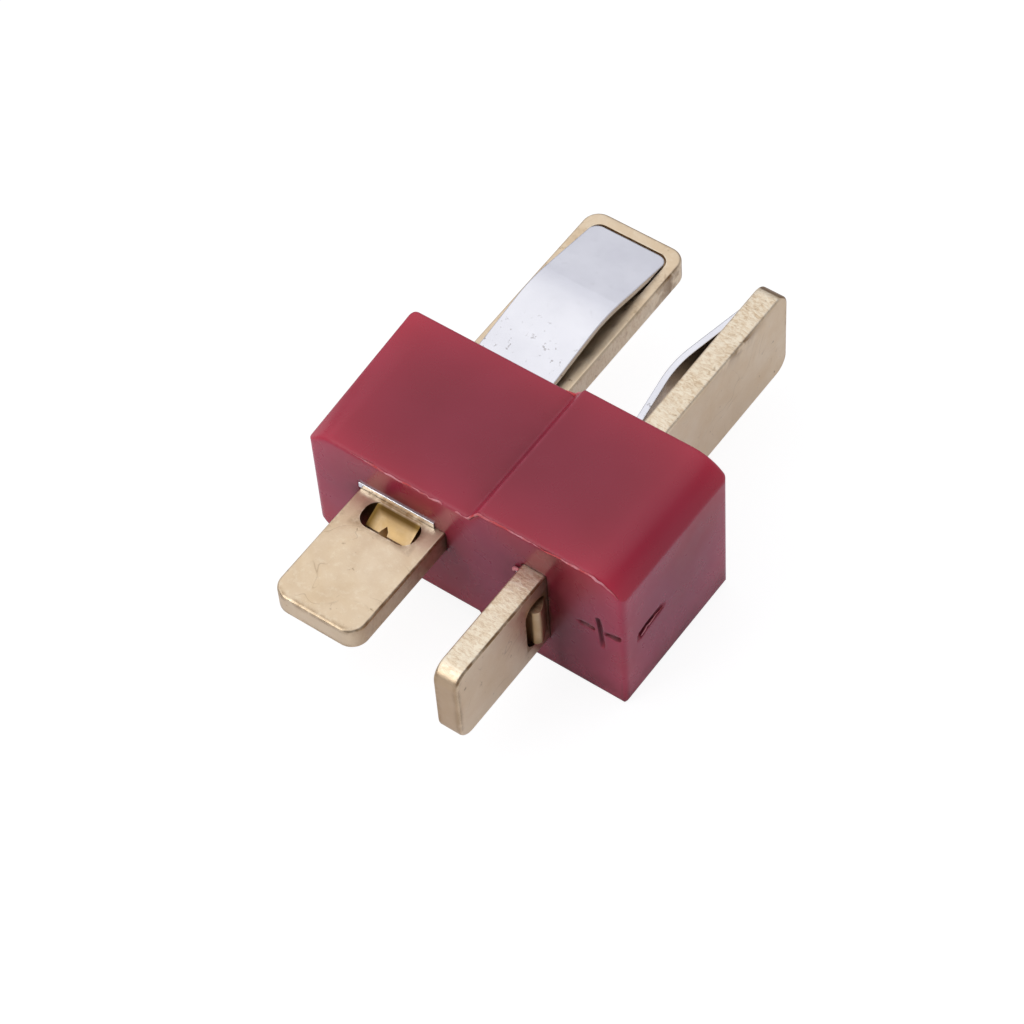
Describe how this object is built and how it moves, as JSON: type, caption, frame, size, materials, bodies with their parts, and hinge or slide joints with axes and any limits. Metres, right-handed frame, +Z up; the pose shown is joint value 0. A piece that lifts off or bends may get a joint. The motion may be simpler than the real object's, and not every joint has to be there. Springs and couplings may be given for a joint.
{
  "type": "t plug battery connector",
  "caption": "Male T plug for battery leads: stepped moulded housing, one flat and one upright stamped blade with leaf springs, and solder tabs behind.",
  "frame": {"origin": "under the middle of the whole plug, at the height of the thick half's underside", "axes": "+Y along the blades towards the mating tips, +X along the housing towards its thick end, +Z up"},
  "size_m": [0.016, 0.0242, 0.0082],
  "materials": {
    "housing_nylon": "moulded, semi-gloss, crimson",
    "blade_brass": "satin, thin pale gold plating on stamped brass",
    "leaf_plate": "bright silver plating on spring copper alloy"
  },
  "bodies": {
    "root": {"housing": "housing_nylon", "flat_contact_blade": "blade_brass", "upright_contact_blade": "blade_brass", "flat_leaf_spring": "leaf_plate", "upright_leaf_spring": "leaf_plate"}
  },
  "joints": []
}
